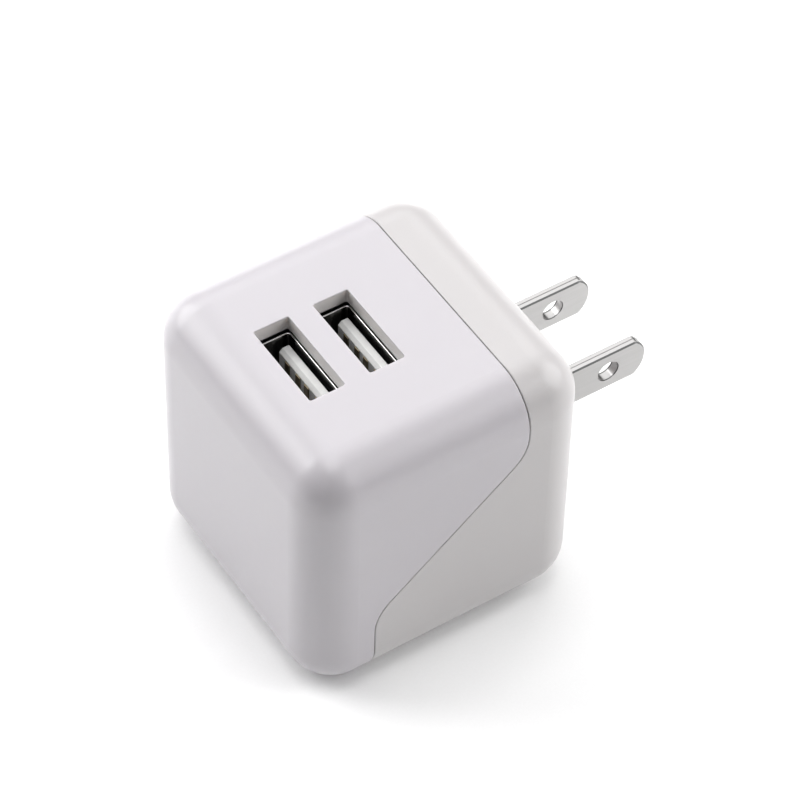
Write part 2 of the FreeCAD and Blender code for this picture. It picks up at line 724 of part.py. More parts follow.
def socket_shell(side, y):
    """The socket's metal sleeve, with two spring fingers in each long wall and two feet."""
    name = f"usb_shell_{side}"
    tall = (USB_BOARD_TOP, SOCKET_TOP)
    outer = rounded_block(f"{name}_outer", about(PORTS_X, "socket_length/2"),
                          about(y, "socket_width/2"), tall, "socket_corner_radius", axis="Z")
    inner = rounded_block(f"{name}_inner", about(PORTS_X, "socket_length/2 - socket_metal"),
                          about(y, "socket_width/2 - socket_metal"),
                          (f"{USB_BOARD_TOP} - socket_metal", f"{SOCKET_TOP} + socket_metal"),
                          "socket_corner_radius - socket_metal", axis="Z")
    sleeve = rounded_rim(f"{name}_rim", cut(f"{name}_sleeve", outer, inner))
    slots, fingers = [], []
    low = f"({SOCKET_TOP} - finger_top_inset - finger_length)"
    for place_name, shift in finger_places():
        x = f"({PORTS_X} + {shift})"
        slots.append(block(f"{name}_slot_{place_name}", about(x, "finger_width/2 + finger_slot"),
                           about(y, "socket_width"),
                           (low, f"{low} + finger_length + finger_slot")))
        for wall, sign in (("near", "-1"), ("far", "1")):
            finger = block(f"{name}_finger_{place_name}_{wall}", about(x, "finger_width/2"),
                           ("0", "socket_metal"), ("0", "finger_length"))
            bind(finger, "Placement.Base.y",
                 f"{y} + {sign} * (socket_width/2 - socket_metal/2) - socket_metal/2")
            bind(finger, "Placement.Base.z", f"{low} - socket_metal/2")
            finger.Placement.Rotation = FreeCAD.Rotation(AXES["X"], 0)
            bind(finger, "Placement.Rotation.Angle", "finger_angle")
            finger.Placement.Rotation.Axis = AXES["X"] * int(sign)
            fingers.append(finger)
    feet = []
    for place_name, sign in (("left", "-1"), ("right", "1")):
        middle = f"({PORTS_X} + {sign} * (socket_length/2 - socket_metal/2))"
        feet.append(block(f"{name}_foot_{place_name}", about(middle, "socket_metal/2"),
                          about(y, "socket_foot_width/2"),
                          (f"{USB_BOARD_BOTTOM} - pin_tail", f"{USB_BOARD_TOP} + socket_metal")))
    slotted = cut(f"{name}_slotted", sleeve, *slots)
    return node(joined(name, slotted, *fingers, *feet))


def contact_places():
    return (("a", "-contact_outer_offset"), ("b", "-contact_inner_offset"),
            ("c", "contact_inner_offset"), ("d", "contact_outer_offset"))


def contact_limits(y, spare):
    """Depth limits of the contact strips, which lie along the tongue's near face."""
    face = f"({y} + tongue_shift - tongue_thickness/2)"
    return (f"{face} - contact_proud - ({spare})", f"{face} - contact_proud + contact_thickness + ({spare})")


def tongue_block(name, y):
    """The tongue, with the top edge over its contacts chamfered to let a plug in."""
    body = doc.addObject("PartDesign::Body", name)
    foot = f"({USB_BOARD_TOP} + insulator_floor/2)"
    height = f"(body_height - tongue_top_drop - {foot})"
    sketch = outline(body, "YZ_Plane", (
        ("0", "0"), ("tongue_thickness", "0"), ("tongue_thickness", height),
        ("tongue_chamfer", height), ("0", f"{height} - tongue_chamfer")))
    solid = pad(body, sketch, "tongue_length")
    every_edge = [f"Edge{i + 1}" for i in range(len(solid.Shape.Edges))]
    soften(body, solid, every_edge, "tongue_corner_radius")
    place(body, f"{PORTS_X} - tongue_length/2", f"{y} + tongue_shift - tongue_thickness/2", foot)
    return body


def socket_insulator(side, y):
    """The white moulding: a floor that closes the sleeve, and the tongue that stands on it."""
    name = f"usb_insulator_{side}"
    floor = rounded_block(f"{name}_floor",
                          about(PORTS_X, "socket_length/2 - socket_metal - insulator_clearance"),
                          about(y, "socket_width/2 - socket_metal - insulator_clearance"),
                          (USB_BOARD_TOP, f"{USB_BOARD_TOP} + insulator_floor"),
                          "socket_corner_radius - socket_metal", axis="Z")
    tongue = tongue_block(f"{name}_tongue", y)
    channels = [block(f"{name}_channel_{spot}",
                      about(f"({PORTS_X} + {shift})", "contact_width/2 + insulator_clearance"),
                      contact_limits(y, "insulator_clearance"),
                      (f"{USB_BOARD_TOP} - insulator_floor",
                       "body_height - tongue_top_drop - contact_top_inset + insulator_clearance"))
                for spot, shift in contact_places()]
    return node(cut(name, joined(f"{name}_solid", floor, tongue), *channels))


def socket_contacts(side, y):
    """Four gold strips along the tongue, each with a pin down through the USB board."""
    name = f"usb_contacts_{side}"
    pieces = []
    depth = contact_limits(y, "0")
    pin_y = f"({y} + tongue_shift - tongue_thickness/2 - contact_proud + contact_thickness/2)"
    for spot, shift in contact_places():
        x = f"({PORTS_X} + {shift})"
        pieces.append(block(f"{name}_strip_{spot}", about(x, "contact_width/2"), depth,
                            (USB_BOARD_TOP, "body_height - tongue_top_drop - contact_top_inset")))
        pieces.append(board_pin(f"{name}_{spot}", usb_pins, x, pin_y,
                                f"{USB_BOARD_TOP}", USB_BOARD_BOTTOM))
    return node(joined(name, *pieces))


def make_sockets():
    for side, sign in (("front", "-"), ("rear", "+")):
        y = f"({PORTS_Y} {sign} port_pitch/2)"
        socket_shell(side, y)
        socket_insulator(side, y)
        socket_contacts(side, y)


# ---------------------------------------------------------------- transformer

def e_core(name, yoke, legs):
    """Half of the ferrite core: a yoke with two outer legs and a middle leg."""
    deep = about(TRANSFORMER_Y, "core_depth/2")
    return node(joined(
        name,
        block(name + "_yoke", about("0", "core_length/2"), deep, yoke),
        block(name + "_leg_left", ("-core_length/2", "core_leg - core_length/2"), deep, legs),
        block(name + "_leg_right", ("core_length/2 - core_leg", "core_length/2"), deep, legs),
        block(name + "_leg_middle", about("0", "core_middle_leg/2"), deep, legs)))


def make_transformer():
    middle = f"({CORE_BOTTOM} + core_height/2)"
    e_core("transformer_core_lower", (CORE_BOTTOM, f"{CORE_BOTTOM} + core_yoke"),
           (f"{CORE_BOTTOM} + core_yoke/2", f"{middle} - core_meeting_gap/2"))
    e_core("transformer_core_upper", (f"{CORE_TOP} - core_yoke", CORE_TOP),
           (f"{middle} + core_meeting_gap/2", f"{CORE_TOP} - core_yoke/2"))

    low = f"({CORE_BOTTOM} + core_yoke + bobbin_clearance)"
    high = f"({CORE_TOP} - core_yoke - bobbin_clearance)"
    flange_x = "core_length/2 - core_leg - bobbin_clearance"
    tube_x = "core_middle_leg/2 + bobbin_clearance + bobbin_wall"
    tube_y = "core_depth/2 + bobbin_clearance + bobbin_wall"
    deep = about(TRANSFORMER_Y, "bobbin_depth/2")
    pieces = [
        block("bobbin_flange_low", about("0", flange_x), deep, (low, f"{low} + bobbin_wall")),
        block("bobbin_flange_high", about("0", flange_x), deep, (f"{high} - bobbin_wall", high)),
        block("bobbin_tube", about("0", tube_x), about(TRANSFORMER_Y, tube_y), (low, high))]
    for side, limits in (
            ("front", (f"{TRANSFORMER_Y} - bobbin_depth/2",
                       f"{TRANSFORMER_Y} - core_depth/2 - bobbin_clearance")),
            ("rear", (f"{TRANSFORMER_Y} + core_depth/2 + bobbin_clearance",
                      f"{TRANSFORMER_Y} + bobbin_depth/2"))):
        pieces.append(block(f"bobbin_base_{side}", about("0", flange_x), limits,
                            (f"{BOARD_TOP} + bobbin_clearance", f"{low} + bobbin_wall")))
    core_hole = block("bobbin_hole", about("0", "core_middle_leg/2 + bobbin_clearance"),
                      about(TRANSFORMER_Y, "core_depth/2 + bobbin_clearance"),
                      (CORE_BOTTOM, CORE_TOP))
    sockets = [rod(f"bobbin_pin_hole_{spot}", "pin_radius", "core_lift + core_yoke", x, y,
                   f"{BOARD_TOP} - core_lift") for spot, x, y in transformer_pin_places()]
    node(cut("transformer_bobbin", joined("bobbin_solid", *pieces), core_hole, *sockets))

    coil = (f"{low} + bobbin_wall", f"{high} - bobbin_wall")
    wrap = "winding_inset + tape_thickness"
    inner = block("winding_core", about("0", tube_x), about(TRANSFORMER_Y, tube_y),
                  (CORE_BOTTOM, CORE_TOP))
    copper = rounded_block("winding_block", about("0", f"{flange_x} - tape_thickness"),
                           about(TRANSFORMER_Y, f"bobbin_depth/2 - ({wrap})"), coil,
                           "winding_inset", axis="Z")
    node(cut("transformer_winding", copper, inner))
    taped = rounded_block("tape_block", about("0", flange_x),
                          about(TRANSFORMER_Y, "bobbin_depth/2 - winding_inset"), coil,
                          "winding_inset + tape_thickness", axis="Z")
    node(cut("transformer_tape", taped, copper))
    pins = [board_pin(f"transformer_{spot}", main_pins, x, y, f"{BOARD_TOP} + core_yoke",
                      "board_rise") for spot, x, y in transformer_pin_places()]
    node(joined("transformer_pins", *pins))


def transformer_pin_places():
    places = []
    for row, sign in (("front", "-"), ("rear", "+")):
        y = f"({TRANSFORMER_Y} {sign} (bobbin_depth/2 - transformer_pin_inset))"
        for spot, step in (("a", "-1.5"), ("b", "-0.5"), ("c", "0.5"), ("d", "1.5")):
            places.append((f"{row}_{spot}", f"({step} * transformer_pin_pitch)", y))
    return places


# ---------------------------------------------------------------- parts on the boards

def make_capacitor(name, radius, height, lead_pitch, x, y):
    """An upright electrolytic capacitor: aluminium can, printed sleeve and two leads."""
    bottom = f"({BOARD_TOP} + can_lift)"
    node(turned(f"{name}_can", (
        ("0", "0"), (radius, "0"), (radius, "can_groove_rise - can_groove_depth"),
        (f"{radius} - can_groove_depth", "can_groove_rise"),
        (radius, "can_groove_rise + can_groove_depth"), (radius, height), ("0", height)),
        x, y, bottom))
    node(turned(f"{name}_sleeve", (
        (radius, "0"), (f"{radius} + sleeve_thickness", "0"),
        (f"{radius} + sleeve_thickness", f"{height} + sleeve_thickness"),
        (f"{radius} - sleeve_overlap", f"{height} + sleeve_thickness"),
        (f"{radius} - sleeve_overlap", height), (radius, height)), x, y, bottom))
    leads = [board_pin(f"{name}_{spot}", main_pins, x, f"({y} {sign} {lead_pitch}/2)",
                       bottom, "board_rise") for spot, sign in (("a", "-"), ("b", "+"))]
    node(joined(f"{name}_leads", *leads))


def make_capacitors():
    """Two bulk capacitors along the left edge and two output capacitors along the right."""
    for radius, height, pitch, edge, label in (
            ("bulk_radius", "bulk_height", "bulk_lead_pitch", "-1", "bulk"),
            ("output_radius", "output_height", "output_lead_pitch", "1", "output")):
        sleeve = f"({radius} + sleeve_thickness)"
        x = f"({edge} * ({BOARD_HALF_X} - part_gap - {sleeve}))"
        for number, step in ((1, 1), (2, 3)):
            y = (f"(-{BOARD_HALF_Y} + board_corner_radius/2 + {number}*part_gap"
                 f" + {step}*{sleeve})")
            make_capacitor(f"{label}_capacitor_{number}", radius, height, pitch, x, y)


def make_disc_capacitor():
    """The blue safety capacitor that stands on edge beside the right-hand lead."""
    x = f"({BOARD_HALF_X} - part_gap - disc_radius)"
    y = f"({COUPLER_Y} + coupler_width/2 + part_gap + disc_thickness/2)"
    z = f"({BOARD_TOP} + disc_lift + disc_radius)"
    disc = rod("disc_round", "disc_radius", "disc_thickness", x, f"{y} - disc_thickness/2", z,
               along="Y")
    legs = [board_pin(f"disc_{spot}", main_pins, f"({x} {sign} disc_radius/2)", y,
                      z, "board_rise") for spot, sign in (("a", "-"), ("b", "+"))]
    node(joined("safety_capacitor", disc, *legs))


def make_choke():
    """A drum-shaped ferrite with its coil, which filters the mains side."""
    x = f"(choke_radius + part_gap - {BOARD_HALF_X})"
    y = f"({SHEET_Y} + sheet_thickness + 2*part_gap + choke_radius)"
    z = f"({BOARD_TOP} + can_lift)"
    top = "(choke_height - choke_flange)"
    node(turned("choke_core", (
        ("0", "0"), ("choke_radius", "0"), ("choke_radius", "choke_flange"),
        ("choke_waist", "choke_flange"), ("choke_waist", top), ("choke_radius", top),
        ("choke_radius", "choke_height"), ("0", "choke_height")), x, y, z))
    node(turned("choke_coil", (
        ("choke_waist", "choke_flange"), ("choke_radius - choke_coil_inset", "choke_flange"),
        ("choke_radius - choke_coil_inset", top), ("choke_waist", top)), x, y, z))
    leads = [board_pin(f"choke_{spot}", main_pins, f"({x} {sign} choke_waist)", y, z,
                       "board_rise") for spot, sign in (("a", "-"), ("b", "+"))]
    node(joined("choke_leads", *leads))


def make_fuse_resistor():
    """The fusible resistor, lying across the board behind the insulation sheet."""
    y = f"({SHEET_Y} + sheet_thickness + part_gap + fuse_radius)"
    z = f"({BOARD_TOP} + fuse_lift + fuse_radius)"
    body = turned("fuse_body", (
        ("0", "0"), ("fuse_radius", "0"), ("fuse_radius", "fuse_cap"),
        ("fuse_waist", "fuse_cap + fuse_radius - fuse_waist"),
        ("fuse_waist", "fuse_length - fuse_cap - fuse_radius + fuse_waist"),
        ("fuse_radius", "fuse_length - fuse_cap"), ("fuse_radius", "fuse_length"),
        ("0", "fuse_length")), "-fuse_length/2", y, z, along="X")
    node(body)
    leads = []
    for spot, sign in (("a", "-1"), ("b", "1")):
        x = f"({sign} * (fuse_length/2 + fuse_lead_reach))"
        start = x if sign == "-1" else "fuse_length/2"
        ball = doc.addObject("Part::Sphere", f"fuse_elbow_{spot}")
        bind(ball, "Radius", "pin_radius")
        place(ball, x, y, z)
        leads += [rod(f"fuse_arm_{spot}", "pin_radius", "fuse_lead_reach", start, y, z, along="X"),
                  ball, board_pin(f"fuse_{spot}", main_pins, x, y, z, "board_rise")]
    node(joined("fuse_leads", *leads))


def chip_with_legs(name, x, y, base, up, length, width, height, leg_shifts):
    """A moulded chip that lies on a board's face, with flat legs along two sides.

    up is 1 on a board's top face and -1 on its underside.
    """
    def level(low, high):
        return (f"{base} + {low}", f"{base} + {high}") if up > 0 else (
            f"{base} - ({high})", f"{base} - ({low})")

    pieces = [block(name + "_case", about(x, f"{length}/2"), about(y, f"{width}/2"),
                    level("leg_thickness/2", f"{height}"))]
    for number, shift in enumerate(leg_shifts, start=1):
        pieces.append(block(f"{name}_leg_{number}", about(f"({x} + {shift})", "leg_width/2"),
                            about(y, f"{width}/2 + leg_reach"), level("0", "leg_thickness")))
    return joined(name, *pieces)


def make_chips():
    """Surface-mounted parts: rectifier on top, and the small parts under the main board."""
    behind = f"({BLADE_END} + blade_tail/4)"
    node(chip_with_legs("bridge_rectifier", "0", behind, BOARD_TOP, 1, "bridge_length",
                        "bridge_width", "bridge_height", ("-1.27", "1.27")))
    pitch = "controller_pitch"
    node(chip_with_legs("power_controller", "0", TRANSFORMER_Y, "board_rise", -1,
                        "controller_length", "controller_width", "controller_height",
                        (f"-1.5*{pitch}", f"-0.5*{pitch}", f"0.5*{pitch}", f"1.5*{pitch}")))
    node(chip_with_legs("port_controller", PORTS_X, PORTS_Y, USB_BOARD_BOTTOM, -1,
                        "controller_length", "controller_width", "controller_height",
                        (f"-1.5*{pitch}", f"-0.5*{pitch}", f"0.5*{pitch}", f"1.5*{pitch}")))
    row = [block(f"resistor_{step}", about(f"({step} * chip_pitch)", "chip_width/2"),
                 about(f"({TRANSFORMER_Y} - bobbin_depth/2 - chip_length)", "chip_length/2"),
                 ("board_rise - chip_height", "board_rise")) for step in (-2, -1, 0, 1, 2)]
    node(joined("chip_resistors", *row))


def make_diode():
    """The output rectifier diode under the board, between the transformer and the outputs."""
    x = f"({BOARD_HALF_X} - 2*part_gap - 2*output_radius - diode_width)"
    body = block("diode_case", about(x, "diode_width/2"), about(TRANSFORMER_Y, "diode_length/2"),
                 ("board_rise - diode_height", "board_rise - leg_thickness/2"))
    tabs = block("diode_tabs", about(x, "diode_width/4"),
                 about(TRANSFORMER_Y, "diode_length/2 + leg_width"),
                 ("board_rise - leg_thickness", "board_rise"))
    node(joined("output_diode", body, tabs))


def make_optocoupler():
    """The four-legged coupler that carries the feedback across the isolation gap."""
    case = block("coupler_case", about(COUPLER_X, "coupler_length/2"),
                 about(COUPLER_Y, "coupler_width/2"),
                 (f"{BOARD_TOP} + can_lift", f"{BOARD_TOP} + can_lift + coupler_height"))
    legs = []
    for spot, side, end in (("a", "-", "-"), ("b", "-", "+"), ("c", "+", "-"), ("d", "+", "+")):
        legs.append(board_pin(f"coupler_{spot}", main_pins,
                              f"({COUPLER_X} {side} coupler_leg_pitch/2)",
                              f"({COUPLER_Y} {end} (coupler_width/2 - pin_radius))",
                              f"{BOARD_TOP} + coupler_height/2", "board_rise"))
    node(joined("optocoupler", case, *legs))


def make_link_pins():
    """The row of tall pins that joins the two boards."""
    pins = []
    for spot, step in (("a", "-1.5"), ("b", "-0.5"), ("c", "0.5"), ("d", "1.5")):
        x = f"({step} * link_pitch)"
        main_pins.append((f"link_{spot}", x, LINK_Y))
        usb_pins.append((f"link_{spot}", x, LINK_Y))
        pins.append(rod(f"link_{spot}", "pin_radius",
                        f"{USB_BOARD_TOP} + pin_tail - board_rise + pin_tail",
                        x, LINK_Y, "board_rise - pin_tail"))
    node(joined("board_link_pins", *pins))


def make_insulation_sheet():
    """The card that parts the mains side from the low-voltage side, up to the coupler."""
    node(block("insulation_sheet",
               (f"board_corner_radius/2 - {BOARD_HALF_X}",
                f"{COUPLER_X} - coupler_length/2 - part_gap"),
               (SHEET_Y, f"{SHEET_Y} + sheet_thickness"),
               (BOARD_TOP, f"{USB_BOARD_BOTTOM} - pin_tail")))


def make_boards():
    make_board("main_board", about("0", BOARD_HALF_X), about("0", BOARD_HALF_Y), "board_rise",
               "board_corner_radius", main_pins)
    make_solder("main_board_solder", "board_rise", main_pins)
    usb_half = f"({SIDE} - usb_board_margin)"
    feet = []
    for side, sign in (("front", "-"), ("rear", "+")):
        for end, turn in (("left", "-1"), ("right", "1")):
            middle = f"({PORTS_X} + {turn} * (socket_length/2 - socket_metal/2))"
            feet.append(block(f"foot_hole_{side}_{end}",
                              about(middle, "socket_metal/2 + pin_clearance"),
                              about(f"({PORTS_Y} {sign} port_pitch/2)",
                                    "socket_foot_width/2 + pin_clearance"),
                              (f"{USB_BOARD_BOTTOM} - pin_tail", f"{USB_BOARD_TOP} + pin_tail")))
    board = make_board("usb_board_plain", about("0", usb_half),
                       (f"{FRONT} + wall_thickness + usb_board_margin",
                        f"{LINK_Y} + usb_board_margin"),
                       USB_BOARD_BOTTOM, "usb_board_corner_radius", usb_pins)
    nodes.remove(board)
    node(cut("usb_board", board, *feet))
    make_solder("usb_board_solder", USB_BOARD_BOTTOM, usb_pins)


# ---------------------------------------------------------------- the whole charger

def check_document():
    """Stop if any object failed, or if a sub-part is empty or not a sound solid."""
    for item in doc.Objects:
        if {"Invalid", "Error"} & set(item.State):
            raise SystemExit(f"{item.Name} failed: {item.State}")
    for piece in nodes:
        if piece.Shape.isNull() or not piece.Shape.isValid() or not piece.Shape.Solids:
            raise SystemExit(f"{piece.Label} has no sound shape")


def write_parts():
    os.makedirs("parts", exist_ok=True)
    for piece in nodes:
        piece.Shape.exportStep(f"parts/{piece.Label}.step")


def main():
    fill_sheet()
    make_housing()
    for side, x in blade_places():
        make_blade(side, x)
    make_retainer()
    make_lead("lead_line", "1")
    make_lead("lead_neutral", "-1")
    make_sockets()
    make_transformer()
    make_capacitors()
    make_disc_capacitor()
    make_choke()
    make_fuse_resistor()
    make_chips()
    make_diode()
    make_optocoupler()
    make_link_pins()
    make_insulation_sheet()
    make_boards()
    doc.recompute()
    check_document()
    write_parts()
    print(len(nodes), "sub-parts written")


main()
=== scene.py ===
import math

import bpy
from mathutils import Matrix, Vector


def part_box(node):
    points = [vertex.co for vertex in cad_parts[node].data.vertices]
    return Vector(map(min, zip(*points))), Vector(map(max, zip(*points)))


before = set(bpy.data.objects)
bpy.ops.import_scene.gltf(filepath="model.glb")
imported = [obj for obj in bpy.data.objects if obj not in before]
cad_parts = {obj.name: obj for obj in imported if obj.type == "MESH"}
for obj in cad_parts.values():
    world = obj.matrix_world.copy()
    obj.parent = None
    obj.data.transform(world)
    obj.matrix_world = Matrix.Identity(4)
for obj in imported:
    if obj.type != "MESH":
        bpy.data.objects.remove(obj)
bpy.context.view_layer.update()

MM = 0.001

# The camera: where it looks, from which side, and how far away it stands.
CAMERA_AIM = Vector((-0.77, 5.50, 23.67)) * MM
CAMERA_AZIMUTH = 55.75      # degrees round from the front towards +X
CAMERA_ELEVATION = 48.77
CAMERA_ROLL = 1.72
CAMERA_DISTANCE = 467.3 * MM
CAMERA_LENS = 164.8         # mm
CAMERA_SENSOR = 36.0        # mm wide

# The studio: a pale floor, and soft square lamps that face the object.
FLOOR_REACH = 3.0           # metres from the middle of the floor to its edges
LAMP_DISTANCE = 1.0         # metres from what the camera looks at
LAMPS = (                   # name, azimuth, elevation, size in metres, power in watts
    ("overhead_box", 0.0, 89.0, 0.6, 4.1),
    ("far_box", -123.0, 49.0, 0.9, 4.9),
    ("left_box", -60.0, 30.0, 0.8, 10.8),
    ("right_box", 160.0, 30.0, 0.8, 8.0),
    ("side_box", 120.0, 40.0, 0.6, 1.5),
)


# ---------------------------------------------------------------- node helpers

class Shader:
    """A material's node tree, with short calls for the nodes that this file needs."""

    def __init__(self, name, roughness=0.5, metallic=0.0):
        self.material = bpy.data.materials.new(name)
        self.material.use_nodes = True
        self.tree = self.material.node_tree
        self.surface = self.tree.nodes["Principled BSDF"]
        self.surface.inputs["Roughness"].default_value = roughness
        self.surface.inputs["Metallic"].default_value = metallic
        self.split = None
        self.place = self.tree.nodes.new("ShaderNodeTexCoord").outputs["Object"]

    def link(self, source, node, socket):
        self.tree.links.new(source, node.inputs[socket])

    def math(self, kind, first, second=None):
        """One step of arithmetic on node outputs or plain numbers."""
        node = self.tree.nodes.new("ShaderNodeMath")
        node.operation = kind
        for socket, value in enumerate((first, second)):
            if isinstance(value, bpy.types.NodeSocket):
                self.tree.links.new(value, node.inputs[socket])
            elif value is not None:
                node.inputs[socket].default_value = value
        return node.outputs["Value"]

    def along(self, axis):
        """The distance along one axis, in metres."""
        if self.split is None:
            self.split = self.tree.nodes.new("ShaderNodeSeparateXYZ")
            self.link(self.place, self.split, "Vector")
        return self.split.outputs[axis]

    def away(self, axis, middle):
        """How far a point is from a place on one axis."""
        return self.math("ABSOLUTE", self.math("SUBTRACT", self.along(axis), middle))

    def noise(self, scale, detail=2.0, stretch=None):
        """Noise over the object's own place, as many waves to a metre as scale says."""
        node = self.tree.nodes.new("ShaderNodeTexNoise")
        node.inputs["Scale"].default_value = scale
        node.inputs["Detail"].default_value = detail
        self.link(self.stretched(stretch), node, "Vector")
        return node.outputs["Fac"]

    def stretched(self, stretch):
        if not stretch:
            return self.place
        mapping = self.tree.nodes.new("ShaderNodeMapping")
        mapping.inputs["Scale"].default_value = stretch
        self.link(self.place, mapping, "Vector")
        return mapping.outputs["Vector"]

    def between(self, source, low, high, start=0.3, end=0.7):
        """A number that goes from low to high as the source goes from start to end."""
        node = self.tree.nodes.new("ShaderNodeMapRange")
        for socket, value in (("From Min", start), ("From Max", end),
                              ("To Min", low), ("To Max", high)):
            node.inputs[socket].default_value = value
        self.link(source, node, "Value")
        return node.outputs["Result"]

    def past(self, source, limit, soft=0.02 * MM):
        """1 where the source is past a limit, and 0 before it."""
        return self.between(source, 0.0, 1.0, limit - soft, limit + soft)

    def below(self, height, soft=0.02 * MM):
        """1 below a height, and 0 above it."""
        return self.between(self.along("Z"), 1.0, 0.0, height - soft, height + soft)

    def blend(self, factor, first, second):
        """A colour between two, each a plain colour or a node output."""
        node = self.tree.nodes.new("ShaderNodeMix")
        node.data_type = "RGBA"
        colour_sockets = [item for item in node.inputs if item.type == "RGBA"]
        for socket, value in zip(colour_sockets, (first, second)):
            if isinstance(value, bpy.types.NodeSocket):
                self.tree.links.new(value, socket)
            else:
                socket.default_value = (*value, 1.0)
        self.tree.links.new(factor, node.inputs["Factor"])
        return next(item for item in node.outputs if item.type == "RGBA")

    def colour(self, source):
        self.link(source, self.surface, "Base Color")

    def roughness(self, source):
        self.link(source, self.surface, "Roughness")

    def metallic(self, source):
        self.link(source, self.surface, "Metallic")

    def bump(self, source, depth):
        """Raises and lowers the surface by up to a depth in metres."""
        node = self.tree.nodes.new("ShaderNodeBump")
        node.inputs["Distance"].default_value = depth
        self.link(source, node, "Height")
        self.link(node.outputs["Normal"], self.surface, "Normal")


def dress(material, *names):
    """Gives CAD nodes a material."""
    for name in names:
        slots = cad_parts[name].data.materials
        slots.clear()
        slots.append(material)


def shade(tint, factor):
    return tuple(min(1.0, part * factor) for part in tint)


# ---------------------------------------------------------------- materials

GRAIN = 2500.0                  # waves to a metre in the grain of a moulding
TINNED = (0.72, 0.71, 0.69)
TINNED_ROUGHNESS = 0.32
BLADE_PAINTED_DARK_BAND = 0.2 * MM         # how wide the band of painted dark reflection along the blades' corners is
TRACK_PITCH = 0.8 * MM          # from one copper track to the next
TRACK_SQUARE = 4.0 * MM         # the squares of board where the tracks run one way


def housing_plastic(name, tint, painted_light_tint=None):
    """White moulded plastic with a soft gloss and a very faint moulding texture.

    The walls of the port windows may be given a paler colour as painted light, standing in for light
    that scatters through the thin walls.
    """
    shader = Shader(name)
    shader.surface.inputs["IOR"].default_value = 1.52
    shader.surface.inputs["Subsurface Weight"].default_value = 0.5
    shader.surface.inputs["Subsurface Radius"].default_value = (1.0, 0.95, 0.9)
    shader.surface.inputs["Subsurface Scale"].default_value = 1.2 * MM
    cloud = shader.between(shader.noise(70.0, 3.0), 0.0, 1.0)
    plastic = shader.blend(cloud, tint, shade(tint, 1.012))
    if painted_light_tint:
        # Painted light: the window walls are coloured paler than the rest of the moulding.
        plastic = shader.blend(painted_light_window_walls(shader), plastic, painted_light_tint)
    shader.colour(plastic)
    shader.roughness(shader.between(shader.noise(900.0, 4.0), 0.29, 0.32))
    shader.bump(shader.noise(3500.0, 2.0), 0.0004 * MM)
    return shader.material


def painted_light_window_walls(shader):
    """1 below the port face near the two windows, where the paler painted light goes, and 0
    elsewhere.
    """
    port_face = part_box("front_housing")[1][2]
    margin = Vector((1, 1, 0)) * MM
    low = Vector(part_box("usb_shell_front")[0]) - margin
    high = Vector(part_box("usb_shell_rear")[1]) + margin
    middle, half = (low + high) / 2, (high - low) / 2
    below = shader.below(port_face - 0.2 * MM, 0.2 * MM)
    beside_x = shader.past(shader.away("X", middle.x), half.x)
    beside_y = shader.past(shader.away("Y", middle.y), half.y)
    beside = shader.math("MAXIMUM", beside_x, beside_y)
    return shader.math("MULTIPLY", below, shader.math("SUBTRACT", 1.0, beside))


def moulded(name, tint, roughness):
    """A matt or satin moulding with slight changes of tone and a fine grain."""
    shader = Shader(name)
    cloud = shader.between(shader.noise(GRAIN / 5), 0.0, 1.0)
    shader.colour(shader.blend(cloud, shade(tint, 0.86), tint))
    shader.roughness(shader.between(shader.noise(GRAIN / 2), roughness * 0.85, roughness * 1.15))
    shader.bump(shader.noise(GRAIN, 3.0), 0.01 * MM)
    return shader.material


def metal(name, tint, roughness, stretch=(1.0, 1.0, 1.0), grain=3000.0, depth=0.002 * MM):
    """Bare metal with fine drawing marks along the axis that stretch squeezes."""
    shader = Shader(name, metallic=1.0)
    marks = shader.noise(grain, 4.0, stretch)
    shader.colour(shader.blend(shader.between(marks, 0.0, 1.0), shade(tint, 0.93), tint))
    shader.roughness(shader.between(marks, roughness * 0.8, roughness * 1.2))
    shader.bump(marks, depth)
    return shader.material


def blade_metal(node):
    """Satin nickel plate with faint marks along the blades, and a near-black band along the blades'
    corners as painted dark reflection.
    """
    shader = Shader("blade_nickel", metallic=1.0)
    low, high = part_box(node)
    half = (high[0] - low[0]) / 2
    from_middle = shader.math(
        "ABSOLUTE", shader.math("SUBTRACT", shader.away("X", 0.0), (low[0] + high[0]) / 2))
    near_face = shader.past(from_middle, half - BLADE_PAINTED_DARK_BAND, 0.01 * MM)
    on_face = shader.past(from_middle, half - 0.01 * MM, 0.005 * MM)
    painted_dark_corner = shader.math("SUBTRACT", near_face, on_face)
    marks = shader.noise(1500.0, 4.0, (1.0, 0.05, 1.0))
    plated = shader.blend(shader.between(marks, 0.0, 1.0),
                          (0.43, 0.425, 0.42), (0.46, 0.452, 0.45))
    # Painted dark reflection: the band along the corners is coloured near black.
    shader.colour(shader.blend(painted_dark_corner, plated, (0.13, 0.13, 0.13)))
    shader.roughness(shader.between(marks, 0.29, 0.34))
    shader.bump(marks, 0.0006 * MM)
    return shader.material


def socket_metal(rim):
    """Plated steel with painted light: the rim's colour is lifted as a painted highlight, and the
    steel below it is darkened to near black as painted shade down in the sleeve.
    """
    shader = Shader("socket_steel", metallic=1.0)
    # 1 on the rim, which gets the painted highlight, and 0 below it, which gets the painted shade.
    painted_rim_highlight = shader.past(shader.along("Z"), rim - 0.06 * MM, 0.05 * MM)
    marks = shader.between(shader.noise(1800.0, 3.0, (1.0, 1.0, 0.08)), 0.0, 1.0)
    # Painted shade: near-black steel below the rim, where shade falls down in the sleeve.
    painted_shade_inside = shader.blend(marks, (0.08, 0.078, 0.075), (0.12, 0.117, 0.115))
    shader.colour(shader.blend(painted_rim_highlight, painted_shade_inside, (0.80, 0.79, 0.78)))
    shader.roughness(shader.between(marks, 0.18, 0.22, 0.0, 1.0))
    return shader.material


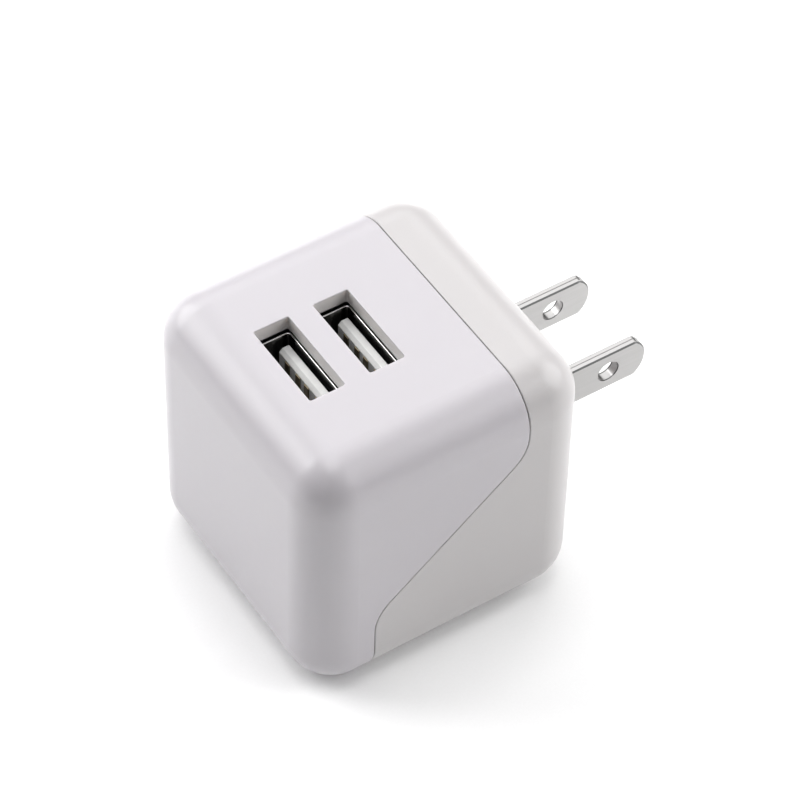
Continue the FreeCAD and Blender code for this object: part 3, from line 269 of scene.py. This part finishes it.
def two_part(name, mask, tint, roughness, grain=GRAIN):
    """A piece whose legs or ends are tinned metal: mask(shader) is 1 on the metal part."""
    shader = Shader(name)
    metal_here = mask(shader)
    cloud = shader.between(shader.noise(grain / 4, 3.0), 0.0, 1.0)
    body = shader.blend(cloud, shade(tint, 0.85), tint)
    shader.colour(shader.blend(metal_here, body, TINNED))
    shader.roughness(shader.between(metal_here, roughness, TINNED_ROUGHNESS, 0.0, 1.0))
    shader.metallic(metal_here)
    shader.bump(shader.noise(grain, 3.0), 0.008 * MM)
    return shader.material


def board_laminate(name):
    """Green solder mask over copper tracks, which show through as paler, raised lines.

    Each square of the board has tracks one way, tracks the other way, or none.
    """
    shader = Shader(name)
    squares = shader.tree.nodes.new("ShaderNodeVectorMath")
    squares.operation = "SNAP"
    squares.inputs[1].default_value = (TRACK_SQUARE, TRACK_SQUARE, 1.0)
    shader.link(shader.place, squares, 0)
    chance = shader.tree.nodes.new("ShaderNodeTexWhiteNoise")
    shader.link(squares.outputs["Vector"], chance, "Vector")
    draw = chance.outputs["Value"]
    one_way = shader.math("MULTIPLY", track_lines(shader, "X"), shader.past(draw, 0.66, 0.01))
    other_way = shader.math("MULTIPLY", track_lines(shader, "Y"),
                            shader.between(draw, 1.0, 0.0, 0.32, 0.34))
    line = shader.math("MAXIMUM", one_way, other_way)
    shader.colour(shader.blend(line, (0.012, 0.11, 0.035), (0.025, 0.19, 0.06)))
    shader.roughness(shader.between(shader.noise(2500.0), 0.28, 0.40))
    shader.bump(line, 0.03 * MM)
    return shader.material


def track_lines(shader, axis):
    """1 on evenly spaced lines across an axis, and 0 between them."""
    place_in_pitch = shader.math("FRACT", shader.math("DIVIDE", shader.along(axis), TRACK_PITCH))
    from_middle = shader.math("ABSOLUTE", shader.math("SUBTRACT", place_in_pitch, 0.5))
    return shader.past(from_middle, 0.3, 0.03)


def ferrite():
    """Matt dark sintered ferrite, slightly pitted."""
    shader = Shader("ferrite", roughness=0.62)
    pits = shader.noise(6500.0, 6.0)
    shader.colour(shader.blend(shader.between(pits, 0.0, 1.0), (0.028, 0.028, 0.03),
                               (0.075, 0.075, 0.08)))
    shader.bump(pits, 0.03 * MM)
    return shader.material


def wound_copper(name, turn):
    """Enamelled wire laid in even turns up the axis, with painted shade in the creases between the
    turns.
    """
    shader = Shader(name, roughness=0.32, metallic=1.0)
    phase = shader.math("MULTIPLY", shader.along("Z"), math.pi / turn)
    crest_and_painted_shade = shader.math("ABSOLUTE", shader.math("SINE", phase))
    # Painted shade: the copper is darkened to near black in the creases between turns; the same mask
    # gives the real rounding as bump.
    shader.colour(shader.blend(crest_and_painted_shade, (0.10, 0.03, 0.01), (0.62, 0.27, 0.11)))
    shader.bump(crest_and_painted_shade, turn / 3)
    return shader.material


def tape():
    """Yellow film wound in overlapping layers, with slight changes of tone."""
    shader = Shader("tape_yellow")
    winds_per_metre = 310.0
    height_in_winds = shader.math("MULTIPLY", shader.along("Z"), winds_per_metre)
    layer = shader.past(shader.math("FRACT", height_in_winds), 0.5, 0.03)
    cloud = shader.between(shader.noise(700.0, 4.0), 0.0, 1.0)
    film = shader.blend(cloud, (0.72, 0.50, 0.04), (0.84, 0.66, 0.10))
    shader.colour(shader.blend(layer, film, (0.66, 0.44, 0.03)))
    shader.roughness(shader.between(cloud, 0.29, 0.38, 0.0, 1.0))
    shader.bump(layer, 0.04 * MM)
    return shader.material


def sleeve(name, can, tint, stripe):
    """Shrunk plastic sleeve with the plain pale band that marks one side of a capacitor."""
    shader = Shader(name, roughness=0.22)
    low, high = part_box(can)
    band_start = 0.36 * (high[1] - low[1])
    band = shader.past(shader.math("SUBTRACT", shader.along("Y"), (low[1] + high[1]) / 2), band_start)
    cloud = shader.between(shader.noise(500.0), 0.0, 1.0)
    base = shader.blend(cloud, shade(tint, 0.8), tint)
    shader.colour(shader.blend(band, base, stripe))
    shader.bump(shader.noise(1400.0, 2.0), 0.02 * MM)
    return shader.material


def banded_resistor():
    """Flameproof coating with plain coloured bands round the body."""
    shader = Shader("fuse_coating", roughness=0.55)
    low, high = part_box("fuse_body")
    coat = shader.blend(shader.between(shader.noise(1500.0, 4.0), 0.0, 1.0),
                        (0.13, 0.24, 0.20), (0.19, 0.33, 0.28))
    length = high[0] - low[0]
    for share, tint in ((0.22, (0.32, 0.12, 0.04)), (0.40, (0.02, 0.02, 0.02)),
                        (0.58, (0.55, 0.35, 0.05)), (0.80, (0.62, 0.48, 0.16))):
        off_band = shader.past(shader.away("X", low[0] + share * length), 0.045 * length)
        coat = shader.blend(off_band, tint, coat)
    shader.colour(coat)
    shader.bump(shader.noise(2200.0, 3.0), 0.02 * MM)
    return shader.material


def card():
    """Pressed fibre card."""
    shader = Shader("card_fibre", roughness=0.85)
    fibres = shader.noise(900.0, 6.0, (1.0, 1.0, 0.15))
    shader.colour(shader.blend(shader.between(fibres, 0.0, 1.0), (0.46, 0.38, 0.24),
                               (0.62, 0.54, 0.38)))
    shader.bump(fibres, 0.03 * MM)
    return shader.material


def dress_outside():
    # The third colour is the paler painted light on the port windows' walls.
    dress(housing_plastic("front_plastic", (0.506, 0.486, 0.512), (0.70, 0.68, 0.67)),
          "front_housing")
    dress(housing_plastic("rear_plastic", (0.503, 0.486, 0.488)), "rear_housing")
    dress(blade_metal("blade_right"), "blade_left", "blade_right")
    dress(socket_metal(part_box("usb_shell_front")[1][2]), "usb_shell_front", "usb_shell_rear")
    dress(moulded("insulator_white", (0.88, 0.88, 0.87), 0.42),
          "usb_insulator_front", "usb_insulator_rear")
    dress(metal("contact_gold", (0.40, 0.33, 0.22), 0.36, (1.0, 1.0, 0.1)),
          "usb_contacts_front", "usb_contacts_rear")


def dress_boards():
    dress(board_laminate("board_green"), "main_board", "usb_board")
    dress(metal("solder_bright", (0.66, 0.67, 0.68), 0.18, grain=1800.0, depth=0.03 * MM),
          "main_board_solder", "usb_board_solder")
    dress(metal("tinned_wire", TINNED, 0.36, (1.0, 1.0, 0.1)),
          "transformer_pins", "board_link_pins", "choke_leads", "fuse_leads",
          *(f"{kind}_capacitor_{number}_leads" for kind in ("bulk", "output")
            for number in (1, 2)))
    dress(card(), "insulation_sheet")
    dress(moulded("retainer_natural", (0.66, 0.66, 0.62), 0.5), "blade_retainer")
    board_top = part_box("main_board")[1][2]
    for node, tint in (("lead_line", (0.012, 0.012, 0.012)), ("lead_neutral", (0.7, 0.7, 0.68))):
        dress(two_part(node + "_cover", lambda shader: shader.below(board_top), tint, 0.38), node)


def dress_magnetics():
    dress(ferrite(), "transformer_core_lower", "transformer_core_upper", "choke_core")
    dress(moulded("bobbin_phenolic", (0.022, 0.021, 0.02), 0.42), "transformer_bobbin")
    dress(wound_copper("winding_copper", 0.3 * MM), "transformer_winding", "choke_coil")
    dress(tape(), "transformer_tape")


def dress_capacitors():
    dress(metal("can_aluminium", (0.80, 0.80, 0.81), 0.38, (1.0, 1.0, 0.2)),
          *(f"{kind}_capacitor_{number}_can" for kind in ("bulk", "output")
            for number in (1, 2)))
    for kind, tint, stripe in (("bulk", (0.012, 0.014, 0.02), (0.55, 0.56, 0.58)),
                               ("output", (0.01, 0.05, 0.03), (0.50, 0.48, 0.30))):
        for number in (1, 2):
            piece = f"{kind}_capacitor_{number}"
            dress(sleeve(piece + "_wrap", piece + "_can", tint, stripe), piece + "_sleeve")
    low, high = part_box("safety_capacitor")
    disc_foot = high[2] - (high[0] - low[0])
    dress(two_part("disc_epoxy", lambda shader: shader.below(disc_foot), (0.02, 0.10, 0.36), 0.4,
                   grain=1200.0), "safety_capacitor")


def dress_chips():
    """Chips, whose metal stands out past the case in Y or hangs below it, and the resistor."""
    epoxy = (0.016, 0.016, 0.017)
    for node, case_share in (("bridge_rectifier", 0.34), ("power_controller", 0.34),
                             ("port_controller", 0.34), ("output_diode", 0.41),
                             ("chip_resistors", 0.33)):
        low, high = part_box(node)
        middle = (low[1] + high[1]) / 2
        reach = case_share * (high[1] - low[1])
        dress(two_part(node + "_case",
                       lambda shader, y=middle, far=reach: shader.past(shader.away("Y", y), far),
                       epoxy, 0.48), node)
    case_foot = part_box("main_board")[1][2] + 0.275 * MM
    dress(two_part("coupler_case", lambda shader: shader.below(case_foot, 0.025 * MM),
                   (0.60, 0.60, 0.57), 0.45), "optocoupler")
    dress(banded_resistor(), "fuse_body")


# ---------------------------------------------------------------- stage, light and camera

def floor_paper():
    """Smooth white background paper."""
    shader = Shader("floor_paper", roughness=0.9)
    fibres = shader.between(shader.noise(2500.0, 3.0), 0.0, 1.0)
    shader.colour(shader.blend(fibres, (0.94, 0.94, 0.94), (0.96, 0.96, 0.96)))
    return shader.material


def make_floor():
    mesh = bpy.data.meshes.new("floor")
    corners = [(x * FLOOR_REACH, y * FLOOR_REACH, 0) for x, y in ((-1, -1), (1, -1), (1, 1), (-1, 1))]
    mesh.from_pydata(corners, [], [(0, 1, 2, 3)])
    floor = bpy.data.objects.new("floor", mesh)
    bpy.context.scene.collection.objects.link(floor)
    floor.data.materials.append(floor_paper())


def make_light(name, azimuth, elevation, size, power):
    """A soft square lamp that faces the object."""
    lamp = bpy.data.lights.new(name, "AREA")
    lamp.energy = power
    lamp.size = size
    holder = bpy.data.objects.new(name, lamp)
    bpy.context.scene.collection.objects.link(holder)
    holder.location = CAMERA_AIM + direction(azimuth, elevation) * LAMP_DISTANCE
    holder.rotation_mode = "QUATERNION"
    holder.rotation_quaternion = (CAMERA_AIM - holder.location).to_track_quat("-Z", "Y")


def direction(azimuth, elevation):
    """The way from the object towards a place: azimuth 0 is the front, 90 is +X."""
    a, e = math.radians(azimuth), math.radians(elevation)
    return Vector((math.sin(a) * math.cos(e), -math.cos(a) * math.cos(e), math.sin(e)))


def make_world():
    world = bpy.data.worlds.new("studio")
    world.use_nodes = True
    background = world.node_tree.nodes["Background"]
    background.inputs["Color"].default_value = (1.0, 1.0, 1.0, 1.0)
    background.inputs["Strength"].default_value = 0.01
    bpy.context.scene.world = world
    bpy.context.scene.view_settings.view_transform = "Standard"


def make_camera():
    camera = bpy.data.cameras.new("camera")
    camera.sensor_width = CAMERA_SENSOR
    camera.lens = CAMERA_LENS
    camera.clip_start = 0.01
    camera.clip_end = 20.0
    holder = bpy.data.objects.new("camera", camera)
    bpy.context.scene.collection.objects.link(holder)
    back = direction(CAMERA_AZIMUTH, CAMERA_ELEVATION)
    upright = back.to_track_quat("Z", "Y").to_matrix().to_4x4()
    roll = Matrix.Rotation(math.radians(CAMERA_ROLL), 4, "Z")
    holder.matrix_world = Matrix.Translation(CAMERA_AIM + back * CAMERA_DISTANCE) @ upright @ roll
    bpy.context.scene.camera = holder


# ---------------------------------------------------------------- the scene

def main():
    make_camera()
    make_world()
    make_floor()
    for lamp in LAMPS:
        make_light(*lamp)
    dress_outside()
    dress_boards()
    dress_magnetics()
    dress_capacitors()
    dress_chips()


main()
